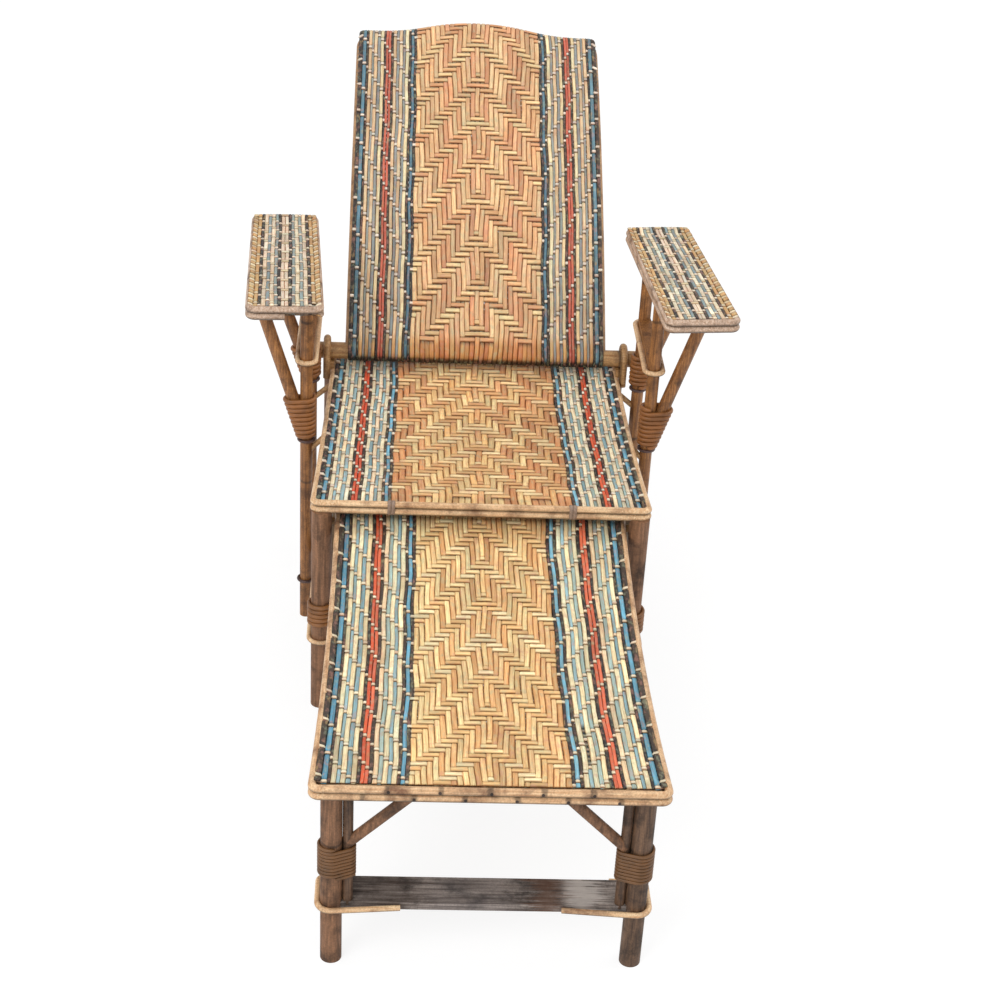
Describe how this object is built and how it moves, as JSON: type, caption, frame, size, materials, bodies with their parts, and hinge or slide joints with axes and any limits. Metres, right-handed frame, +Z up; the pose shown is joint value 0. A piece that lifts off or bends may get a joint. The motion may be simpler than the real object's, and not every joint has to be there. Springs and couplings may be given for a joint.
{
  "type": "reclining cane deck chair",
  "caption": "Long cane deck chair with woven seat, arms and leg rest; the back reclines on a notched prop and the leg rest slides in under the seat.",
  "frame": {"origin": "on the floor under the middle of the chair's outline", "axes": "+Z up, +Y towards the back's head, -Y towards the leg rest's foot, +X to the right of someone who looks along +Y"},
  "size_m": [0.7725, 1.6604, 0.7924],
  "materials": {
    "arm_cane": "satin",
    "back_cane": "satin",
    "cane_pole": "satin",
    "dark_binding": "satin",
    "frame_cane": "satin",
    "leg_pole": "satin",
    "old_board": "matte",
    "old_nail": "matte",
    "rest_cane": "satin",
    "rim_cane": "satin",
    "seat_cane": "satin",
    "winding_cane": "satin"
  },
  "bodies": {
    "frame": {"seat_rims": "rim_cane", "seat_rail": "frame_cane", "seat_weave": "seat_cane", "front_leg_left": "leg_pole", "front_leg_right": "leg_pole", "rear_leg_left": "leg_pole", "rear_leg_right": "leg_pole", "rear_board": "old_board", "runner_left": "old_board", "runner_right": "old_board", "side_stretcher_left": "old_board", "side_stretcher_right": "old_board", "leg_winding_left": "winding_cane", "leg_winding_right": "winding_cane", "rod_hoop_left": "frame_cane", "rod_hoop_right": "frame_cane", "rod_pads": "old_board", "rack_left": "old_board", "rack_right": "old_board", "rack_stand": "leg_pole", "arm_rims_left": "rim_cane", "arm_pad_left": "arm_cane", "arm_pole_front_left": "cane_pole", "arm_winding_front_left": "winding_cane", "arm_pole_rear_left": "cane_pole", "arm_winding_rear_left": "winding_cane", "arm_braces_left": "cane_pole", "arm_spreader_left": "winding_cane", "arm_rims_right": "rim_cane", "arm_pad_right": "arm_cane", "arm_pole_front_right": "cane_pole", "arm_winding_front_right": "winding_cane", "arm_pole_rear_right": "cane_pole", "arm_winding_rear_right": "winding_cane", "arm_braces_right": "cane_pole", "arm_spreader_right": "winding_cane", "cane_loops": "winding_cane", "pole_rings": "dark_binding", "pole_spacers": "cane_pole"},
    "footrest": {"slide_bar": "cane_pole", "rest_rail": "frame_cane", "rest_weave": "rest_cane", "rest_rim_upper": "rim_cane", "rest_rim_lower": "rim_cane", "rest_nails": "old_nail", "rest_leg_left": "leg_pole", "rest_leg_right": "leg_pole", "foot_board": "old_board", "rest_posts": "leg_pole", "rest_braces": "leg_pole", "rest_winding_left": "winding_cane", "rest_winding_right": "winding_cane", "board_edging": "winding_cane"},
    "backrest": {"back_rod": "frame_cane", "prop_hinge_bar": "cane_pole", "back_frame": "frame_cane", "back_weave": "back_cane"},
    "prop": {"prop_pole_left": "cane_pole", "prop_pole_right": "cane_pole", "prop_foot_bar": "cane_pole"}
  },
  "joints": [
    {"name": "footrest_slide", "type": "slide", "parent": "frame", "child": "footrest", "axis": [0, 1, 0], "range_m": [0, 0.3]},
    {"name": "back_hinge", "type": "hinge", "parent": "frame", "child": "backrest", "pos_m": [0, 0.2298, 0.4], "axis": [1, 0, 0], "range_deg": [0, 138]},
    {"name": "prop_hinge", "type": "hinge", "parent": "backrest", "child": "prop", "pos_m": [0, 0.4085, 0.53783], "axis": [1, 0, 0], "range_deg": [0, 64]}
  ]
}
